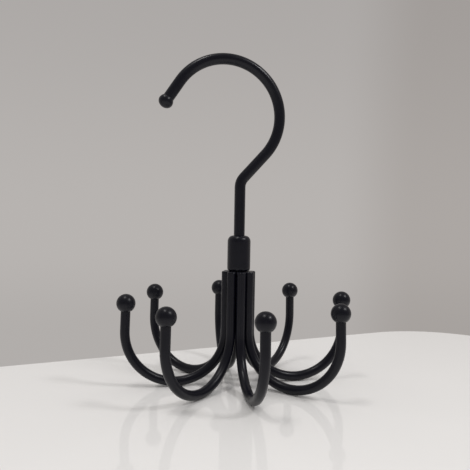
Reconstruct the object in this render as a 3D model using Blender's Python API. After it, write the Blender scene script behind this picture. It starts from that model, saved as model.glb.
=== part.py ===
"""Rotating tank top hanger: a wire hook that swivels in a turned collar, over a ring of bent wire arms.

+Z is up. The origin is on the surface that the arms stand on, under the swivel axis. The hook lies in
the XZ plane with its mouth towards -X, and arm_1 points along +X.
"""

import math

import bmesh
import bpy
from mathutils import Matrix, Vector

MM = 0.001

# Gaps between pieces that the real object has in contact or running in each other
SEAT_GAP = 0.3 * MM      # along a face that rests on its neighbour
WIRE_GAP = 0.15 * MM     # between neighbouring arm wires in the bundle
BORE_GAP = 0.15 * MM     # around a wire end or spigot in its bore
SWIVEL_GAP = 0.15 * MM   # around the hook's stem in the collar and the washer

# Arms: one bent wire each, radii measured at the wire's centre line
ARM_COUNT = 8
ARM_WIRE = 5.25 * MM
ARM_STRAIGHT = 34.3 * MM
INNER_BEND = 27.7 * MM
OUTER_BEND = 28.5 * MM
LEG_LEAN = math.radians(1.8)
LEG_LENGTH = 10.9 * MM
WIRE_CHAMFER = 0.4 * MM

# Balls on the arms
BALL_DIAMETER = 10.4 * MM
BALL_LAND = 0.4 * MM
BALL_BORE_DEPTH = 5.0 * MM

# Hook wire, with the head inside the collar and the knob on its free end
HOOK_WIRE = 6.25 * MM
HEAD_LEDGE = 1.2 * MM
HEAD_HEIGHT = 2.5 * MM
HEAD_CHAMFER = 0.5 * MM
STEM_RISE = 27.4 * MM
KINK_ANGLE = math.radians(42.2)
KINK_RADIUS = 8.0 * MM
NECK_LENGTH = 18.2 * MM
ARC_RADIUS = 31.1 * MM
ARC_SWEEP = math.radians(188.5)
END_LENGTH = 11.2 * MM
KNOB_STAND = 1.0 * MM
KNOB_BACK = 4.0 * MM
KNOB_FRONT = 3.5 * MM

# Collar and the washer under its roof
COLLAR_HEIGHT = 19.9 * MM
COLLAR_WALL = 1.9 * MM
COLLAR_ROOF = 4.6 * MM
HEAD_GAP = 0.3 * MM
DOME_RISE = 3.4 * MM
RIM_LAND = 0.2 * MM
FOOT_ROUND = 1.3 * MM
BORE_LEAD = 0.4 * MM
WASHER_THICKNESS = 1.0 * MM

# Core rod in the middle of the bundle
ROD_CHAMFER = 0.6 * MM

# Facets
ARM_SIDES = 12
HOOK_SIDES = 16
BALL_SIDES = 16
TURNED_SIDES = 32
ARM_BEND_STEP = math.radians(7.5)
HOOK_BEND_STEP = math.radians(6.0)
ROUND_STEP = math.radians(18.0)

# Sizes that follow from the ones above
ARM_PITCH = 2 * math.pi / ARM_COUNT
BUNDLE_RADIUS = (ARM_WIRE + WIRE_GAP) / (2 * math.sin(ARM_PITCH / 2))
ARM_TOP = ARM_WIRE / 2 + INNER_BEND + ARM_STRAIGHT
ROD_RADIUS = BUNDLE_RADIUS - ARM_WIRE / 2 - SEAT_GAP
HEAD_RADIUS = HOOK_WIRE / 2 + HEAD_LEDGE
COLLAR_BORE = HEAD_RADIUS + HEAD_GAP
COLLAR_RADIUS = COLLAR_BORE + COLLAR_WALL
STEM_HOLE = HOOK_WIRE / 2 + SWIVEL_GAP
COLLAR_FOOT = ARM_TOP + SEAT_GAP
COLLAR_TOP = COLLAR_FOOT + COLLAR_HEIGHT
ROOF_UNDERSIDE = COLLAR_TOP - COLLAR_ROOF
WASHER_BOTTOM = ROOF_UNDERSIDE - SEAT_GAP - WASHER_THICKNESS
HEAD_TOP = WASHER_BOTTOM - SEAT_GAP
HEAD_BOTTOM = HEAD_TOP - HEAD_HEIGHT
SPIGOT_TOP = HEAD_BOTTOM - SEAT_GAP


def steps_for(angle, step):
    """How many equal facets no larger than step cover an angle."""
    return max(1, math.ceil(abs(angle) / step - 1e-6))


def arc(centre, radii, start, end):
    """Points of an elliptical arc in a turned profile, as (radius, height), both ends included."""
    count = steps_for(end - start, ROUND_STEP)
    angles = [start + (end - start) * i / count for i in range(count + 1)]
    return [(centre[0] + radii[0] * math.cos(a), centre[1] + radii[1] * math.sin(a)) for a in angles]


class Wire:
    """A round wire in one plane, formed from one end by straight runs and bends."""

    def __init__(self, place, heading, normal, diameter, sides):
        self.place = Vector(place)
        self.heading = Vector(heading)
        self.normal = Vector(normal)
        self.diameter = diameter
        self.bm = bmesh.new()
        # The first corner of the ring lies in the wire's plane, so that bends keep their full reach
        inward = self.normal.cross(self.heading)
        frame = Matrix((inward, self.normal, -self.heading)).transposed().to_4x4()
        frame.translation = self.place
        bmesh.ops.create_circle(self.bm, segments=sides, radius=diameter / 2, matrix=frame)
        self.first_rim = list(self.bm.edges)
        self.rim = self.first_rim

    def run(self, length, diameter=None):
        """Goes straight on, and tapers or steps to another diameter where one is given."""
        grown = bmesh.ops.extrude_edge_only(self.bm, edges=self.rim)["geom"]
        ring = [item for item in grown if isinstance(item, bmesh.types.BMVert)]
        self.rim = self.edges_between(ring)
        bmesh.ops.translate(self.bm, verts=ring, vec=self.heading * length)
        self.place = self.place + self.heading * length
        if diameter is not None:
            factor = diameter / self.diameter
            about = Matrix.Translation(-self.place)
            bmesh.ops.scale(self.bm, verts=ring, vec=(factor,) * 3, space=about)
            self.diameter = diameter

    def bend(self, radius, angle, step):
        """Bends towards normal x heading, or away from it for a negative angle."""
        side = self.normal.cross(self.heading) * math.copysign(radius, angle)
        centre = self.place + side
        last = bmesh.ops.spin(
            self.bm,
            geom=self.rim,
            cent=centre,
            axis=self.normal,
            angle=angle,
            steps=steps_for(angle, step),
        )["geom_last"]
        self.rim = self.edges_between([item for item in last if isinstance(item, bmesh.types.BMVert)])
        turn = Matrix.Rotation(angle, 3, self.normal)
        self.place = centre + turn @ (self.place - centre)
        self.heading = turn @ self.heading

    def finished(self, name):
        """Caps both ends and gives the mesh."""
        for rim in (self.first_rim, self.rim):
            bmesh.ops.contextual_create(self.bm, geom=rim)
        return mesh_from(self.bm, name)

    def edges_between(self, verts):
        ring = set(verts)
        return [edge for edge in self.bm.edges if edge.verts[0] in ring and edge.verts[1] in ring]


def mesh_from(bm, name):
    """Turns the faces outward and shades round surfaces smooth."""
    bmesh.ops.recalc_face_normals(bm, faces=bm.faces)
    mesh = bpy.data.meshes.new(name)
    bm.to_mesh(mesh)
    bm.free()
    mesh.shade_smooth()
    mesh.set_sharp_from_angle(angle=math.radians(35))
    return mesh


def turned_mesh(name, profile, sides, closed):
    """Revolves a profile of (radius, height) points about Z; a closed one has a hole through it."""
    bm = bmesh.new()
    verts = [bm.verts.new((radius, 0, height)) for radius, height in profile]
    edges = [bm.edges.new(pair) for pair in zip(verts, verts[1:])]
    if closed:
        edges.append(bm.edges.new((verts[-1], verts[0])))
    bmesh.ops.spin(
        bm,
        geom=verts + edges,
        cent=(0, 0, 0),
        axis=(0, 0, 1),
        angle=2 * math.pi,
        steps=sides,
        use_merge=True,
    )
    bmesh.ops.remove_doubles(bm, verts=bm.verts, dist=1e-6)
    return mesh_from(bm, name)


def coating(name, colour, roughness, metallic=0.0):
    """A Principled material for one kind of piece."""
    material = bpy.data.materials.new(name)
    material.use_nodes = True
    shader = material.node_tree.nodes["Principled BSDF"]
    shader.inputs["Base Color"].default_value = (*colour, 1.0)
    shader.inputs["Roughness"].default_value = roughness
    shader.inputs["Metallic"].default_value = metallic
    material.diffuse_color = (*colour, 1.0)
    return material


def place_piece(name, mesh, parent, matrix=None):
    """Adds an object to the scene, placed in its parent's frame."""
    piece = bpy.data.objects.new(name, mesh)
    bpy.context.scene.collection.objects.link(piece)
    piece.parent = parent
    piece.matrix_basis = matrix or Matrix.Identity(4)
    return piece


def arm_mesh():
    """One arm along +X, and the frame of the flat that its ball sits on, with Z along the leg."""
    wire = Wire(
        place=(BUNDLE_RADIUS, 0, ARM_TOP),
        heading=(0, 0, -1),
        normal=(0, -1, 0),
        diameter=ARM_WIRE - 2 * WIRE_CHAMFER,
        sides=ARM_SIDES,
    )
    wire.run(WIRE_CHAMFER, ARM_WIRE)
    wire.run(ARM_STRAIGHT - WIRE_CHAMFER)
    wire.bend(INNER_BEND, math.pi / 2, ARM_BEND_STEP)
    wire.bend(OUTER_BEND, math.pi / 2 + LEG_LEAN, ARM_BEND_STEP)
    wire.run(LEG_LENGTH)
    outward = -wire.normal.cross(wire.heading)
    seat = Matrix((outward, wire.heading.cross(outward), wire.heading)).transposed().to_4x4()
    seat.translation = wire.place
    wire.run(BALL_BORE_DEPTH - SEAT_GAP - WIRE_CHAMFER)
    wire.run(WIRE_CHAMFER, ARM_WIRE - 2 * WIRE_CHAMFER)
    return wire.finished("arm"), seat


def ball_mesh():
    """A ball with a flat land round its blind bore; the land is at height 0 and the ball above it."""
    radius = BALL_DIAMETER / 2
    bore = ARM_WIRE / 2 + BORE_GAP
    land = bore + BALL_LAND
    centre = math.sqrt(radius**2 - land**2)
    sphere = arc((0, centre), (radius, radius), -math.asin(centre / radius), math.pi / 2)
    inside = [(0, BALL_BORE_DEPTH), (bore, BALL_BORE_DEPTH), (bore, 0)]
    crown = (0, centre + radius)
    return turned_mesh("ball", inside + sphere[:-1] + [crown], BALL_SIDES, closed=False)


def collar_mesh():
    """The sleeve: a bore for spigot, washer and head, a roof with the stem's hole, a domed shoulder."""
    rim = STEM_HOLE + RIM_LAND
    shoulder = COLLAR_HEIGHT - DOME_RISE
    underside = COLLAR_HEIGHT - COLLAR_ROOF
    foot = arc((COLLAR_RADIUS - FOOT_ROUND, FOOT_ROUND), (FOOT_ROUND, FOOT_ROUND), -math.pi / 2, 0)
    dome = arc((rim, shoulder), (COLLAR_RADIUS - rim, DOME_RISE), 0, math.pi / 2)
    inside = [
        (STEM_HOLE, COLLAR_HEIGHT),
        (STEM_HOLE, underside),
        (COLLAR_BORE, underside),
        (COLLAR_BORE, BORE_LEAD),
        (COLLAR_BORE + BORE_LEAD, 0),
    ]
    return turned_mesh("collar", foot + dome + inside, TURNED_SIDES, closed=True)


def washer_mesh():
    """The flat ring between the hook's head and the collar's roof."""
    outer = COLLAR_BORE - BORE_GAP
    profile = [(STEM_HOLE, 0), (outer, 0), (outer, WASHER_THICKNESS), (STEM_HOLE, WASHER_THICKNESS)]
    return turned_mesh("swivel_washer", profile, TURNED_SIDES, closed=True)


def core_rod_mesh():
    """The rod inside the ring of wires, with the wider spigot that plugs the collar's bore on top."""
    spigot = COLLAR_BORE - BORE_GAP
    step = ARM_STRAIGHT + SEAT_GAP
    top = SPIGOT_TOP - (ARM_TOP - ARM_STRAIGHT)
    profile = [
        (0, 0),
        (ROD_RADIUS - ROD_CHAMFER, 0),
        (ROD_RADIUS, ROD_CHAMFER),
        (ROD_RADIUS, step),
        (spigot, step),
        (spigot, top - ROD_CHAMFER),
        (spigot - ROD_CHAMFER, top),
        (0, top),
    ]
    return turned_mesh("core_rod", profile, TURNED_SIDES, closed=False)


def hook_mesh():
    """The hook's wire, from its head to its knob; the origin is on the head's upper face."""
    head = 2 * HEAD_RADIUS
    wire = Wire(
        place=(0, 0, -HEAD_HEIGHT),
        heading=(0, 0, 1),
        normal=(0, 1, 0),
        diameter=head - 2 * HEAD_CHAMFER,
        sides=HOOK_SIDES,
    )
    wire.run(HEAD_CHAMFER, head)
    wire.run(HEAD_HEIGHT - HEAD_CHAMFER)
    wire.run(0, HOOK_WIRE)
    wire.run(COLLAR_TOP + STEM_RISE - HEAD_TOP)
    wire.bend(KINK_RADIUS, KINK_ANGLE, HOOK_BEND_STEP)
    wire.run(NECK_LENGTH)
    wire.bend(ARC_RADIUS, -ARC_SWEEP, HOOK_BEND_STEP)
    wire.run(END_LENGTH)
    add_knob(wire)
    return wire.finished("hook")


def add_knob(wire):
    """Upsets the wire's end into a flattened ball, whose shoulder starts at the wire's own surface."""
    radius = HOOK_WIRE / 2 + KNOB_STAND
    start = -math.acos(HOOK_WIRE / 2 / radius)
    outline = arc((0, 0), (radius, KNOB_BACK), start, 0)
    outline += arc((0, 0), (radius, KNOB_FRONT), 0, math.pi / 2)[1:]
    along = outline[0][1]
    for ring_radius, height in outline[1:-1]:
        wire.run(height - along, 2 * ring_radius)
        along = height


def main():
    for item in list(bpy.data.objects):
        bpy.data.objects.remove(item, do_unlink=True)

    black = (0.012, 0.012, 0.013)
    hanger = place_piece("hanger", None, None)
    swivel = place_piece("swivel", None, hanger, Matrix.Translation((0, 0, HEAD_TOP)))

    hook = place_piece("hook", hook_mesh(), swivel)
    hook.data.materials.append(coating("hook_coat", black, 0.42))

    collar = place_piece("collar", collar_mesh(), hanger, Matrix.Translation((0, 0, COLLAR_FOOT)))
    collar.data.materials.append(coating("collar_coat", black, 0.45))

    washer_place = Matrix.Translation((0, 0, WASHER_BOTTOM))
    washer = place_piece("swivel_washer", washer_mesh(), hanger, washer_place)
    washer.data.materials.append(coating("washer_steel", (0.55, 0.55, 0.56), 0.35, metallic=1.0))

    rod_place = Matrix.Translation((0, 0, ARM_TOP - ARM_STRAIGHT))
    rod = place_piece("core_rod", core_rod_mesh(), hanger, rod_place)
    rod.data.materials.append(coating("rod_coat", black, 0.5))

    arm, seat = arm_mesh()
    arm.materials.append(coating("arm_coat", black, 0.42))
    ball = ball_mesh()
    ball.materials.append(coating("ball_coat", black, 0.46))
    for number in range(ARM_COUNT):
        turn = Matrix.Rotation(number * ARM_PITCH, 4, "Z")
        piece = place_piece(f"arm_{number + 1}", arm, hanger, turn)
        place_piece(f"ball_{number + 1}", ball, piece, seat)


main()
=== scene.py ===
"""The looks of the rotating tank top hanger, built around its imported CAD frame.

Everything is in metres in the row frame: the hanger stands on z = 0 round the Z axis, the hook lies in the
XZ plane, and arm_1 points along +X. The fine meshes repeat the sizes of the CAD source, so each lies where
its CAD node is.
"""

import math

import bmesh
import bpy
from mathutils import Matrix, Vector


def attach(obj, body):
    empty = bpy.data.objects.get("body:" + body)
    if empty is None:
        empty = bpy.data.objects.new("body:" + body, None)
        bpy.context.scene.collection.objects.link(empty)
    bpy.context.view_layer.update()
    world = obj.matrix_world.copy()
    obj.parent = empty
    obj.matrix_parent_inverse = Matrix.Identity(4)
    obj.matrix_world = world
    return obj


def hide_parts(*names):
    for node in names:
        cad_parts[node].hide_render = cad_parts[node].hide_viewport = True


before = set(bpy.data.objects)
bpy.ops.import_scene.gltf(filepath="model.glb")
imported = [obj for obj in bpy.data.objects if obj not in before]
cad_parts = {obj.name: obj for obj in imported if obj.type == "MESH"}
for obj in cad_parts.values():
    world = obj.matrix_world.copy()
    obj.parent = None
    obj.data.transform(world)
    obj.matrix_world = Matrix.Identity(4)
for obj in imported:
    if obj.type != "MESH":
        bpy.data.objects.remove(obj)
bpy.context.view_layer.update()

MM = 0.001

# Gaps of the CAD source
SEAT_GAP = 0.3 * MM
WIRE_GAP = 0.15 * MM
BORE_GAP = 0.15 * MM
SWIVEL_GAP = 0.15 * MM
HEAD_GAP = 0.3 * MM

# Arms and balls, as in the CAD source
ARM_COUNT = 8
ARM_WIRE = 5.25 * MM
ARM_STRAIGHT = 34.3 * MM
INNER_BEND = 27.7 * MM
OUTER_BEND = 28.5 * MM
LEG_LEAN = math.radians(1.8)
LEG_LENGTH = 10.9 * MM
BALL_RADIUS = 5.2 * MM
BALL_LAND = 0.4 * MM
BORE_DEPTH = 5.0 * MM

# Hook, as in the CAD source
HOOK_WIRE = 6.25 * MM
HEAD_LEDGE = 1.2 * MM
HEAD_HEIGHT = 2.5 * MM
STEM_RISE = 27.4 * MM
KINK_ANGLE = math.radians(42.2)
KINK_RADIUS = 8.0 * MM
NECK_LENGTH = 18.2 * MM
ARC_RADIUS = 31.1 * MM
ARC_SWEEP = math.radians(188.5)
END_LENGTH = 11.2 * MM
KNOB_STAND = 1.0 * MM
KNOB_BACK = 4.0 * MM
KNOB_FRONT = 3.5 * MM

# Collar and the washer inside it, as in the CAD source
COLLAR_HEIGHT = 19.9 * MM
COLLAR_WALL = 1.9 * MM
COLLAR_ROOF = 4.6 * MM
DOME_RISE = 3.4 * MM
RIM_LAND = 0.2 * MM
FOOT_ROUND = 1.3 * MM
WASHER_THICKNESS = 1.0 * MM

# Sizes that follow from the ones above
ARM_PITCH = 2 * math.pi / ARM_COUNT
BUNDLE_RADIUS = (ARM_WIRE + WIRE_GAP) / (2 * math.sin(ARM_PITCH / 2))
ARM_TOP = ARM_WIRE / 2 + INNER_BEND + ARM_STRAIGHT
HEAD_RADIUS = HOOK_WIRE / 2 + HEAD_LEDGE
COLLAR_BORE = HEAD_RADIUS + HEAD_GAP
COLLAR_RADIUS = COLLAR_BORE + COLLAR_WALL
STEM_HOLE = HOOK_WIRE / 2 + SWIVEL_GAP
COLLAR_FOOT = ARM_TOP + SEAT_GAP
COLLAR_TOP = COLLAR_FOOT + COLLAR_HEIGHT
HEAD_TOP = COLLAR_TOP - COLLAR_ROOF - WASHER_THICKNESS - 2 * SEAT_GAP

# Fineness of the meshes
WIRE_SIDES = 40
TURNED_SIDES = 72
COLLAR_ROWS = 12
STEP = 1.6 * MM
ROUND_STEP = math.radians(6)
END_STEP = math.radians(15)
TABLE_STEP = math.radians(3)
SHARP_ANGLE = math.radians(38)

# Details that the CAD source leaves out or has plainer
END_ROUND = 0.7 * MM
HEAD_ROUND = 0.5 * MM
EDGE_ROUND = 0.15 * MM
LIP_ROUND = 0.1 * MM
LAND_TURN = math.radians(3)
SKIN_GAP = 0.04 * MM

# The CAD's flat facets lie inside its curves, so the fine hook and balls are trimmed to stay inside its box
HOOK_TRIM = 0.04 * MM
BALL_TRIM = 0.01 * MM


class Path:
    """A wire's centre line in an upright plane, as stations of (across, height, heading).

    The heading is the angle from straight up towards the plane's positive side.
    """

    def __init__(self, across, height, heading):
        self.stations = [(across, height, heading)]

    def run(self, length):
        count = steps(length)
        self.stations += [shifted(self.stations[-1], length * i / count) for i in range(1, count + 1)]

    def bend(self, radius, angle):
        across, height, heading = self.stations[-1]
        reach = math.copysign(radius, angle)
        middle = (across + reach * math.cos(heading), height - reach * math.sin(heading))
        count = steps(abs(angle) * radius)
        for i in range(1, count + 1):
            turned = heading + angle * i / count
            here = (middle[0] - reach * math.cos(turned), middle[1] + reach * math.sin(turned))
            self.stations.append((*here, turned))


def steps(length):
    """How many steps a length takes. It is rounded first, so that a rounding error adds no step."""
    return max(1, math.ceil(round(length / STEP, 6)))


def shifted(station, along):
    """A station moved along its own heading."""
    across, height, heading = station
    return across + along * math.sin(heading), height + along * math.cos(heading), heading


def arc(centre, radii, start, end, step=ROUND_STEP):
    """Points of an elliptical arc, as (radius, height), both ends included."""
    count = max(1, math.ceil(abs(end - start) / step))
    angles = [start + (end - start) * i / count for i in range(count + 1)]
    return [(centre[0] + radii[0] * math.cos(a), centre[1] + radii[1] * math.sin(a)) for a in angles]


def skin(name, rings, wears, loop=False):
    """A mesh over rings of points, with each ring's wear from 0 to 1.

    A ring of one point closes an end, and loop joins the last ring to the first.
    """
    bm = bmesh.new()
    wear = bm.verts.layers.float.new("wear")
    made = []
    for points, amount in zip(rings, wears):
        verts = [bm.verts.new(p) for p in points]
        for v in verts:
            v[wear] = amount
        made.append(verts)
    pairs = list(zip(made, made[1:]))
    if loop:
        pairs.append((made[-1], made[0]))
    for one, two in pairs:
        count = max(len(one), len(two))
        for i in range(count):
            j = (i + 1) % count
            if len(one) == 1:
                bm.faces.new((one[0], two[i], two[j]))
            elif len(two) == 1:
                bm.faces.new((one[i], two[0], one[j]))
            else:
                bm.faces.new((one[i], two[i], two[j], one[j]))
    bmesh.ops.recalc_face_normals(bm, faces=bm.faces)
    mesh = bpy.data.meshes.new(name)
    bm.to_mesh(mesh)
    bm.free()
    mesh.shade_smooth()
    mesh.set_sharp_from_angle(angle=SHARP_ANGLE)
    return mesh


def around(sides):
    return [2 * math.pi * i / sides for i in range(sides)]


def wire_mesh(name, sections):
    """A round wire in the XZ plane over sections of (station, radius, wear)."""
    rings = []
    for (across, height, heading), radius, _ in sections:
        middle = Vector((across, 0, height))
        if radius == 0:
            rings.append([middle])
            continue
        side = Vector((math.cos(heading), 0, -math.sin(heading)))
        out = Vector((0, 1, 0))
        rings.append([middle + radius * (math.cos(a) * side + math.sin(a) * out) for a in around(WIRE_SIDES)])
    return skin(name, rings, [wear for _, _, wear in sections])


def turned_mesh(name, profile, loop):
    """A profile of (radius, height, wear) turned about Z."""
    rings = []
    for radius, height, _ in profile:
        angles = around(TURNED_SIDES) if radius else [0]
        rings.append([(radius * math.cos(a), radius * math.sin(a), height) for a in angles])
    return skin(name, rings, [wear for _, _, wear in profile], loop)


def rounded_end(station, radius, opening):
    """Sections that start or end a wire in a flat face with a rounded and worn edge."""
    sections = []
    for ring, back in arc((radius - END_ROUND, 0), (END_ROUND, END_ROUND), 0, math.pi / 2, END_STEP):
        along = END_ROUND - back if opening else back - END_ROUND
        sections.append((shifted(station, along), ring, 1.0 if back > 0.2 * END_ROUND else 0.5))
    sections.append((station, radius * 0.5, 0.3))
    sections.append((station, 0, 0.2))
    return sections[::-1] if opening else sections


def arm_parts():
    """The mesh of the arm along +X and the seat of its ball."""
    radius = ARM_WIRE / 2
    path = Path(BUNDLE_RADIUS, ARM_TOP, math.pi)
    path.run(ARM_STRAIGHT)
    path.bend(INNER_BEND, -math.pi / 2)
    path.bend(OUTER_BEND, -math.pi / 2 - LEG_LEAN)
    path.run(LEG_LENGTH)
    across, height, heading = path.stations[-1]
    up = Vector((math.sin(heading), 0, math.cos(heading)))
    out = Vector((math.cos(heading), 0, -math.sin(heading)))
    seat = Matrix((out, up.cross(out), up)).transposed().to_4x4()
    seat.translation = (across, 0, height)
    path.run(BORE_DEPTH - SEAT_GAP)
    first, last = path.stations[0], path.stations[-1]
    sections = rounded_end(first, radius, True)
    for station in path.stations:
        if all(math.dist(station[:2], end[:2]) > END_ROUND for end in (first, last)):
            sections.append((station, radius, 0.0))
    sections += rounded_end(last, radius, False)
    return wire_mesh("arm", sections), seat


def ball_mesh():
    """The ball over its bore; the land round the wire is at height 0."""
    bore = ARM_WIRE / 2 + SKIN_GAP
    land = ARM_WIRE / 2 + BORE_GAP + BALL_LAND
    centre = math.sqrt(BALL_RADIUS**2 - land**2)
    outside = BALL_RADIUS - BALL_TRIM
    start = LAND_TURN - math.asin(centre / BALL_RADIUS)
    sphere = arc((0, centre), (outside, outside), start, math.pi / 2)
    profile = [
        (0, BORE_DEPTH, 0),
        (bore, BORE_DEPTH, 0),
        (bore, EDGE_ROUND, 0),
        (bore + EDGE_ROUND, 0, 0.4),
        (land - EDGE_ROUND, 0, 0.6),
        (land, EDGE_ROUND * 0.4, 1.0),
    ]
    profile += [(r, h, 0.0) for r, h in sphere[:-1]]
    profile.append((0, centre + outside, 0))
    return turned_mesh("ball", profile, loop=False)


def collar_mesh():
    """The sleeve with its rounded foot, domed shoulder and broken edges; the foot is at height 0."""
    rim = STEM_HOLE + RIM_LAND
    shoulder = COLLAR_HEIGHT - DOME_RISE
    underside = COLLAR_HEIGHT - COLLAR_ROOF
    foot = arc((COLLAR_RADIUS - FOOT_ROUND, FOOT_ROUND), (FOOT_ROUND, FOOT_ROUND), -math.pi / 2, 0)
    dome = arc((rim, shoulder), (COLLAR_RADIUS - rim, DOME_RISE), 0, math.pi / 2)
    rows = [FOOT_ROUND + (shoulder - FOOT_ROUND) * i / COLLAR_ROWS for i in range(1, COLLAR_ROWS)]
    profile = [(COLLAR_BORE + EDGE_ROUND, 0, 0.3)]
    profile += [(r, h, 0.7) for r, h in foot]
    profile += [(COLLAR_RADIUS, h, 0.0) for h in rows]
    profile += [(r, h, 0.25 if h > COLLAR_HEIGHT - 4 * LIP_ROUND else 0.0) for r, h in dome]
    profile += [
        (STEM_HOLE + LIP_ROUND, COLLAR_HEIGHT, 1.0),
        (STEM_HOLE, COLLAR_HEIGHT - LIP_ROUND, 0.8),
        (STEM_HOLE, underside, 0),
        (COLLAR_BORE, underside, 0),
        (COLLAR_BORE, EDGE_ROUND, 0),
    ]
    return turned_mesh("collar_shell", profile, loop=True)


def hook_mesh():
    """The hook's wire from its head in the collar to the knob."""
    radius = HOOK_WIRE / 2 - HOOK_TRIM
    bottom = HEAD_TOP - HEAD_HEIGHT
    sections = [((0, bottom, 0.0), 0, 0.0), ((0, bottom, 0.0), HEAD_RADIUS * 0.5, 0.0)]
    sections += [
        ((0, bottom + HEAD_ROUND - back, 0.0), ring, 0.4)
        for ring, back in arc((HEAD_RADIUS - HEAD_ROUND, 0), (HEAD_ROUND, HEAD_ROUND), math.pi / 2, 0)
    ]
    sections.append(((0, HEAD_TOP, 0.0), HEAD_RADIUS, 0.4))
    path = Path(0, HEAD_TOP, 0.0)
    path.run(COLLAR_TOP + STEM_RISE - HEAD_TOP)
    path.bend(KINK_RADIUS, KINK_ANGLE)
    path.run(NECK_LENGTH)
    path.bend(ARC_RADIUS, -ARC_SWEEP)
    path.run(END_LENGTH)
    sections += [(s, radius, 0.0) for s in path.stations]
    reach = radius + KNOB_STAND
    start = -math.acos(radius / reach)
    knob = arc((0, 0), (reach, KNOB_BACK), start, 0)
    knob += arc((0, 0), (reach, KNOB_FRONT), 0, math.pi / 2)[1:]
    end, behind = path.stations[-1], knob[0][1]
    sections += [(shifted(end, height - behind), ring, 0.1) for ring, height in knob[1:-1]]
    sections.append((shifted(end, KNOB_FRONT - behind), 0, 0.1))
    return wire_mesh("hook_wire", sections)


class Nodes:
    """Short calls for building a node tree."""

    def __init__(self, tree):
        self.tree = tree

    def add(self, kind, values=None, **settings):
        node = self.tree.nodes.new(kind)
        for key, value in settings.items():
            setattr(node, key, value)
        for key, value in (values or {}).items():
            self.put(node, key, value)
        return node

    def put(self, node, key, value):
        """Sets an input, or links it where the value is another node's output."""
        if isinstance(value, bpy.types.NodeSocket):
            self.tree.links.new(value, node.inputs[key])
        else:
            node.inputs[key].default_value = value

    def noise(self, scale, detail=2.0, roughness=0.5, offset=0.0):
        """Noise in the piece's own coordinates, about 1/scale metres from one bump to the next."""
        coordinates = self.add("ShaderNodeTexCoord").outputs["Object"]
        moved = self.add("ShaderNodeMapping", {"Vector": coordinates, "Location": (offset, offset, offset)})
        values = {"Vector": moved.outputs["Vector"], "Scale": scale, "Detail": detail, "Roughness": roughness}
        return self.add("ShaderNodeTexNoise", values).outputs["Fac"]

    def remap(self, value, low, high, to_low, to_high, **settings):
        values = {"Value": value, "From Min": low, "From Max": high, "To Min": to_low, "To Max": to_high}
        return self.add("ShaderNodeMapRange", values, **settings).outputs["Result"]

    def math(self, operation, one, two):
        return self.add("ShaderNodeMath", {0: one, 1: two}, operation=operation).outputs["Value"]

    def mix(self, factor, one, two, kind="MIX"):
        """Two colours, each three numbers or another node's output."""
        one, two = ((*c, 1.0) if isinstance(c, tuple) else c for c in (one, two))
        node = self.add("ShaderNodeMix", {0: factor}, data_type="RGBA", blend_type=kind)
        self.put(node, 6, one)
        self.put(node, 7, two)
        return node.outputs[2]

    def bump(self, layers):
        """One normal from layers of (height, distance in metres), coarse to fine."""
        normal = None
        for height, distance in layers:
            values = {"Height": height, "Distance": distance, "Strength": 1.0}
            if normal is not None:
                values["Normal"] = normal
            normal = self.add("ShaderNodeBump", values).outputs["Normal"]
        return normal


def new_material(name):
    """A material, its node calls and its shader."""
    material = bpy.data.materials.new(name)
    material.use_nodes = True
    return material, Nodes(material.node_tree), material.node_tree.nodes["Principled BSDF"]


# Powder coat: bumps per metre and their depths, the gloss, and the colours of full and thin coat
PEEL_SCALE = 620.0
PEEL_DEPTH = 0.028 * MM
GRAIN_SCALE = 4200.0
GRAIN_DEPTH = 0.010 * MM
CLOUD_SCALE = 75.0
COAT_GLOSS = 0.29
COAT_BLACK = (0.0010, 0.0012, 0.0052)
COAT_THIN = (0.011, 0.0112, 0.016)


def powder_coat(name, roughness, offset):
    """Satin powder coat: a soft orange peel with a fine grain, thinner and smoother where edges wear."""
    material, n, shader = new_material(name)
    peel = n.noise(PEEL_SCALE, detail=2.0, roughness=0.45, offset=offset)
    grain = n.noise(GRAIN_SCALE, detail=1.0, offset=offset)
    cloud = n.noise(CLOUD_SCALE, detail=3.0, roughness=0.6, offset=offset)
    wear = n.add("ShaderNodeAttribute", attribute_name="wear").outputs["Fac"]
    worn = n.math("MULTIPLY", wear, n.remap(cloud, 0.35, 0.65, 0.2, 1.0))
    tone = n.math("ADD", n.remap(cloud, 0.3, 0.7, 0.0, 0.10), n.remap(grain, 0.3, 0.7, 0.0, 0.06))
    tone = n.math("ADD", tone, n.math("MULTIPLY", worn, 0.5))
    n.put(shader, "Base Color", n.mix(tone, COAT_BLACK, COAT_THIN))
    rough = n.remap(cloud, 0.3, 0.7, roughness - 0.03, roughness + 0.04)
    rough = n.math("ADD", rough, n.remap(grain, 0.3, 0.7, -0.02, 0.03))
    n.put(shader, "Roughness", n.math("SUBTRACT", rough, n.math("MULTIPLY", worn, 0.09)))
    n.put(shader, "Specular IOR Level", COAT_GLOSS)
    n.put(shader, "Normal", n.bump([(peel, PEEL_DEPTH), (grain, GRAIN_DEPTH)]))
    return material


def zinc_plate(name):
    """Bright zinc with a faint cloudiness and grain."""
    material, n, shader = new_material(name)
    grain = n.noise(2400.0)
    cloud = n.noise(300.0, detail=3.0)
    n.put(shader, "Base Color", n.mix(cloud, (0.47, 0.47, 0.49), (0.60, 0.60, 0.61)))
    n.put(shader, "Metallic", 1.0)
    n.put(shader, "Roughness", n.remap(grain, 0.3, 0.7, 0.28, 0.42))
    n.put(shader, "Normal", n.bump([(grain, 0.004 * MM)]))
    return material


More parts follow.
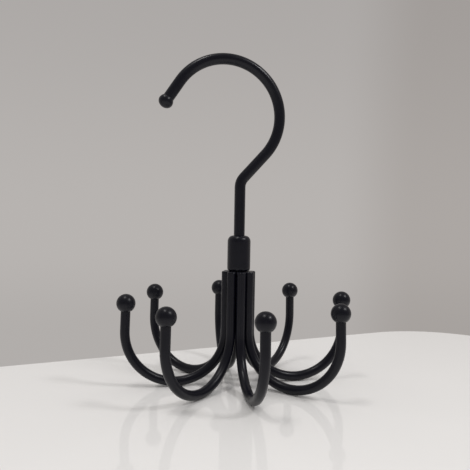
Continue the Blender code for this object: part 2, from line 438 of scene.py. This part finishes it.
def table_lacquer(name):
    """Pale glossy table top, which mirrors only at a low angle."""
    material, n, shader = new_material(name)
    cloud = n.noise(6.0, detail=2.0)
    n.put(shader, "Base Color", n.mix(cloud, (0.785, 0.768, 0.752), (0.81, 0.793, 0.777)))
    n.put(shader, "Roughness", n.remap(cloud, 0.3, 0.7, 0.02, 0.03))
    facing = n.add("ShaderNodeLayerWeight", {"Blend": 0.5}).outputs["Facing"]
    n.put(shader, "Specular IOR Level", n.remap(facing, 0.3, 0.55, 0.0, 0.5))
    return material


def add_object(name, data):
    item = bpy.data.objects.new(name, data)
    bpy.context.scene.collection.objects.link(item)
    return item


def add_piece(name, mesh, body, node, material):
    """Shows a fine mesh in place of a CAD node."""
    piece = add_object(name, mesh)
    mesh.materials.clear()
    mesh.materials.append(material)
    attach(piece, body)
    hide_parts(node)


def placed(mesh, matrix):
    """A copy of a mesh, moved to where a matrix puts it."""
    copy = mesh.copy()
    copy.transform(matrix)
    return copy


def build_hanger():
    hook_coat = powder_coat("hook_coat", 0.30, 0.0)
    collar_coat = powder_coat("collar_coat", 0.30, 0.3)
    arm_coat = powder_coat("arm_coat", 0.31, 0.7)
    ball_coat = powder_coat("ball_coat", 0.31, 1.1)
    rod_coat = powder_coat("rod_coat", 0.45, 1.6)

    add_piece("hook_wire", hook_mesh(), "hook", "hook", hook_coat)
    collar = placed(collar_mesh(), Matrix.Translation((0, 0, COLLAR_FOOT)))
    add_piece("collar_shell", collar, "rack", "collar", collar_coat)
    arm, seat = arm_parts()
    ball = ball_mesh()
    for number in range(1, ARM_COUNT + 1):
        turn = Matrix.Rotation((number - 1) * ARM_PITCH, 4, "Z")
        wire, end = placed(arm, turn), placed(ball, turn @ seat)
        add_piece(f"arm_wire_{number}", wire, "rack", f"arm_{number}", arm_coat)
        add_piece(f"ball_end_{number}", end, "rack", f"ball_{number}", ball_coat)

    for node, material in (("core_rod", rod_coat), ("swivel_washer", zinc_plate("washer_zinc"))):
        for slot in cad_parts[node].material_slots:
            slot.material = material


# The photo's camera, fitted to the eight balls and the outline: pixels for the picture, its focal length
# and its centre, then the eye's place round the hanger and the way it looks, in radians
PHOTO_PIXELS = 470.0
FOCAL_LENGTH = 562.1
CENTRE_PIXEL = (239.6, 242.4)
EYE_DISTANCE = 319.0 * MM
EYE_HEIGHT = 96.2 * MM
EYE_AZIMUTH = math.radians(11.93)
YAW = 0.0009
PITCH = 0.04788
ROLL = 0.0175
SENSOR = 36.0


def add_camera():
    forward = Vector((math.sin(YAW) * math.cos(PITCH), math.cos(YAW) * math.cos(PITCH), -math.sin(PITCH)))
    level = Vector((math.cos(YAW), -math.sin(YAW), 0))
    upright = level.cross(forward)
    right = math.cos(ROLL) * level + math.sin(ROLL) * upright
    up = math.cos(ROLL) * upright - math.sin(ROLL) * level
    matrix = Matrix((right, up, -forward)).transposed().to_4x4()
    matrix.translation = (0, -EYE_DISTANCE, EYE_HEIGHT)
    data = bpy.data.cameras.new("photo_camera")
    data.sensor_width = SENSOR
    data.lens = SENSOR * FOCAL_LENGTH / PHOTO_PIXELS
    data.shift_x = (PHOTO_PIXELS / 2 - CENTRE_PIXEL[0]) / PHOTO_PIXELS
    data.shift_y = (CENTRE_PIXEL[1] - PHOTO_PIXELS / 2) / PHOTO_PIXELS
    data.clip_start = 0.01
    data.clip_end = 20.0
    camera = add_object("photo_camera", data)
    camera.matrix_world = Matrix.Rotation(-EYE_AZIMUTH, 4, "Z") @ matrix
    bpy.context.scene.camera = camera


# The table top in its own axes: the hanger's axis is at the origin, and the back edge is along X
TABLE_TURN = math.radians(13.3)
TABLE_SIDES = (-1.2, 0.2475)
TABLE_ENDS = (-1.1, 0.088)
TABLE_CORNER = 0.077
TABLE_THICKNESS = 0.02
TABLE_ROUND = 0.003


def add_table():
    """The table top that the hanger stands on, with its back edge and corner where the photo has them."""
    outline = []
    for side, end, start in ((1, 1, 0.0), (0, 1, 0.5), (0, 0, 1.0), (1, 0, 1.5)):
        across = TABLE_SIDES[side] + TABLE_CORNER * (1 - 2 * side)
        along = TABLE_ENDS[end] + TABLE_CORNER * (1 - 2 * end)
        begin = start * math.pi
        corner = (TABLE_CORNER, TABLE_CORNER)
        outline += arc((across, along), corner, begin, begin + math.pi / 2, TABLE_STEP)
    bm = bmesh.new()
    top = bm.faces.new([bm.verts.new((x, y, 0)) for x, y in outline])
    low = bmesh.ops.extrude_face_region(bm, geom=[top])["geom"]
    low_verts = [v for v in low if isinstance(v, bmesh.types.BMVert)]
    bmesh.ops.translate(bm, verts=low_verts, vec=(0, 0, -TABLE_THICKNESS))
    bmesh.ops.recalc_face_normals(bm, faces=bm.faces)
    rims = [e for e in bm.edges if abs(e.verts[0].co.z - e.verts[1].co.z) < 1e-6]
    bmesh.ops.bevel(bm, geom=rims, offset=TABLE_ROUND, segments=5, profile=0.5, affect="EDGES")
    mesh = bpy.data.meshes.new("table")
    bm.to_mesh(mesh)
    bm.free()
    # The top stays flat-shaded, because smooth shading of so large a face bends what it mirrors
    for face in mesh.polygons:
        face.use_smooth = abs(face.normal.z) < 0.999
    mesh.materials.append(table_lacquer("table_lacquer"))
    table = add_object("table", mesh)
    table.matrix_world = Matrix.Rotation(TABLE_TURN, 4, "Z")


# Lamps as (name, direction, diameter in metres, watts, colour). The directions were fitted to the shadows
# of the balls in the photo, for lamps a metre away.
LAMPS = (
    ("lamp_above", (-0.237, -0.086, 1.0), 0.18, 1.7, (1.0, 0.985, 0.97)),
    ("lamp_right", (0.752, -0.508, 1.0), 0.19, 2.45, (0.99, 0.99, 1.0)),
)
LAMP_DISTANCE = 1.0
LAMP_TARGET = (0, 0, 0.09)


def add_lamps():
    """Round soft lights that face the hanger's middle."""
    for name, direction, diameter, watts, colour in LAMPS:
        data = bpy.data.lights.new(name, "AREA")
        data.shape = "DISK"
        data.size = diameter
        data.energy = watts
        data.color = colour
        lamp = add_object(name, data)
        away = Vector(direction).normalized()
        lamp.location = Vector(LAMP_TARGET) + away * LAMP_DISTANCE
        lamp.rotation_mode = "QUATERNION"
        lamp.rotation_quaternion = away.to_track_quat("Z", "Y")


# The surroundings, in linear light: one light for surfaces, and the grey of the backdrop that is seen and
# mirrored. The backdrop is shaded across, and dimmed by these factors above, below and on the near side.
# The directions are fixed round the hanger, whatever the view; the near side is where the photo was taken
# from.
AMBIENT_LIGHT = (0.765, 0.76, 0.755)
BACKDROP_GREY = (0.475, 0.452, 0.436)
BACKDROP_SHADE = (0.412, 0.385, 0.367)
TOP_DIM = (0.865, 0.865, 0.87)
FOOT_DIM = (0.93, 0.93, 0.93)
NEAR_DIM = (0.66, 0.66, 0.66)
UPWARD = (0.0, 0.0, 1.0)
ACROSS = (math.cos(EYE_AZIMUTH), -math.sin(EYE_AZIMUTH), 0.0)
NEARWARD = (-math.sin(EYE_AZIMUTH), -math.cos(EYE_AZIMUTH), 0.0)


def add_world():
    """Plain surroundings: one level of light, and a soft slope of grey for what is seen and mirrored."""
    world = bpy.data.worlds.new("surroundings")
    world.use_nodes = True
    bpy.context.scene.world = world
    world.node_tree.nodes.clear()
    n = Nodes(world.node_tree)
    direction = n.add("ShaderNodeTexCoord").outputs["Generated"]

    def slope(along, low, high):
        """From 0 to 1 as the direction turns towards the given one."""
        values = {0: direction, 1: along}
        reach = n.add("ShaderNodeVectorMath", values, operation="DOT_PRODUCT").outputs["Value"]
        return n.remap(reach, low, high, 0.0, 1.0, interpolation_type="SMOOTHSTEP")

    def dimmed(colour, factor):
        return n.mix(1.0, colour, factor, "MULTIPLY")

    grey = n.mix(slope(ACROSS, 0.16, 0.30), BACKDROP_GREY, BACKDROP_SHADE)
    grey = n.mix(slope(UPWARD, -0.02, 0.42), grey, dimmed(grey, TOP_DIM))
    grey = n.mix(slope(UPWARD, -0.20, -0.06), dimmed(grey, FOOT_DIM), grey)
    grey = n.mix(slope(NEARWARD, -0.3, 0.8), grey, dimmed(grey, NEAR_DIM))
    backdrop = n.add("ShaderNodeBackground", {"Color": grey}).outputs[0]
    light = n.add("ShaderNodeBackground", {"Color": (*AMBIENT_LIGHT, 1.0)}).outputs[0]
    path = n.add("ShaderNodeLightPath").outputs
    seen = n.math("MAXIMUM", path["Is Camera Ray"], path["Is Glossy Ray"])
    seen = n.math("MAXIMUM", seen, path["Is Transmission Ray"])
    surroundings = n.add("ShaderNodeMixShader", {0: seen, 1: light, 2: backdrop}).outputs[0]
    n.add("ShaderNodeOutputWorld", {"Surface": surroundings})


build_hanger()
add_camera()
add_table()
add_world()
add_lamps()
bpy.context.scene.view_settings.view_transform = "Standard"
